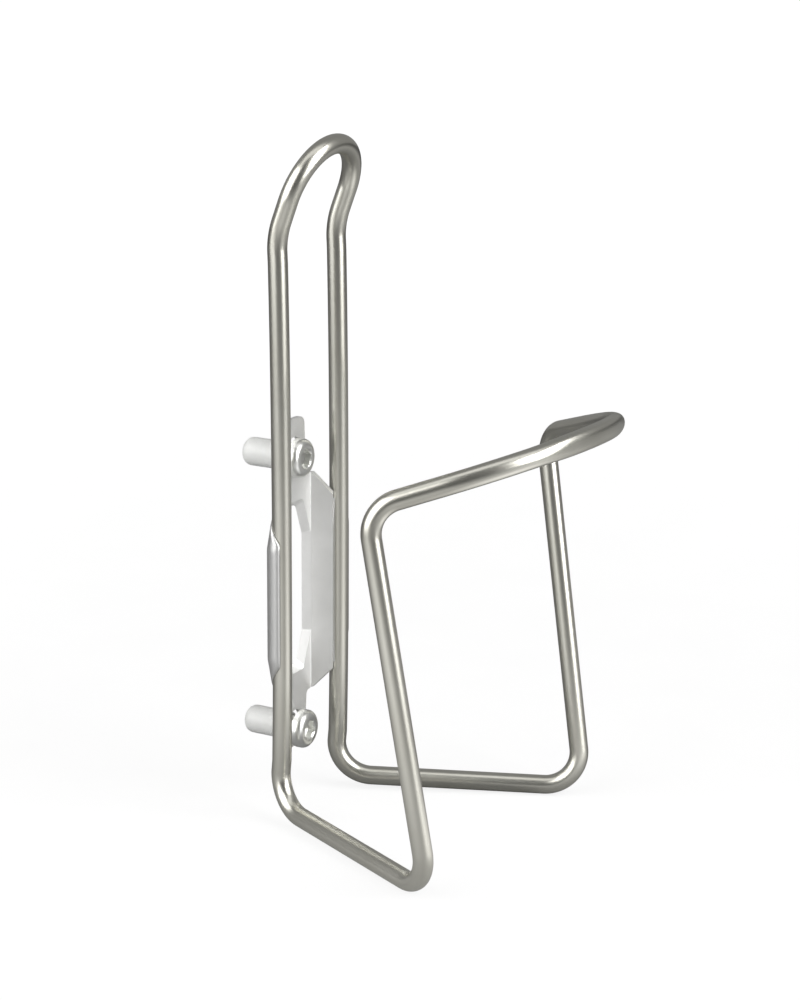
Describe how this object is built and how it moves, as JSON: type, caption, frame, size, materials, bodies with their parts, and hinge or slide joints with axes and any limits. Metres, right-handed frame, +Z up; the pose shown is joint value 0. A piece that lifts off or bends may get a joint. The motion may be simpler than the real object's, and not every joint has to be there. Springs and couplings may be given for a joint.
{
  "type": "water bottle cage",
  "caption": "Bent-rod water bottle cage with a pressed mounting bracket, hex socket screws and soft thread caps, for a bicycle frame.",
  "frame": {"origin": "centre of the cage's footprint, at the height of its lowest point", "axes": "+Z up along the bottle, +Y backwards to the bicycle tube it is screwed to, -Y towards the bottle and the ring's front, X across"},
  "size_m": [0.0838, 0.0894, 0.1545],
  "materials": {
    "satin_rod": "satin clear-anodised, slightly warm",
    "bracket_sheet": "pressed sheet, matt anodised",
    "bolt_steel": "bright stainless steel",
    "cap_vinyl": "soft pale grey vinyl"
  },
  "bodies": {
    "cage": {"rod_loop": "satin_rod", "mounting_bracket": "bracket_sheet"},
    "upper_screw": {"upper_bolt": "bolt_steel"},
    "lower_screw": {"lower_bolt": "bolt_steel"},
    "upper_cap": {"upper_thread_cap": "cap_vinyl"},
    "lower_cap": {"lower_thread_cap": "cap_vinyl"}
  },
  "joints": [
    {"name": "upper_screw_turn", "type": "hinge", "parent": "cage", "child": "upper_screw", "pos_m": [0, 0.03148, 0.08156], "axis": [0, 1, 0], "continuous": true},
    {"name": "lower_screw_turn", "type": "hinge", "parent": "cage", "child": "lower_screw", "pos_m": [0, 0.03068, 0.01756], "axis": [0, 1, 0], "continuous": true},
    {"name": "upper_cap_pull", "type": "slide", "parent": "upper_screw", "child": "upper_cap", "axis": [0, 1, 0], "range_m": [0, 0.013]},
    {"name": "lower_cap_pull", "type": "slide", "parent": "lower_screw", "child": "lower_cap", "axis": [0, 1, 0], "range_m": [0, 0.013]}
  ]
}
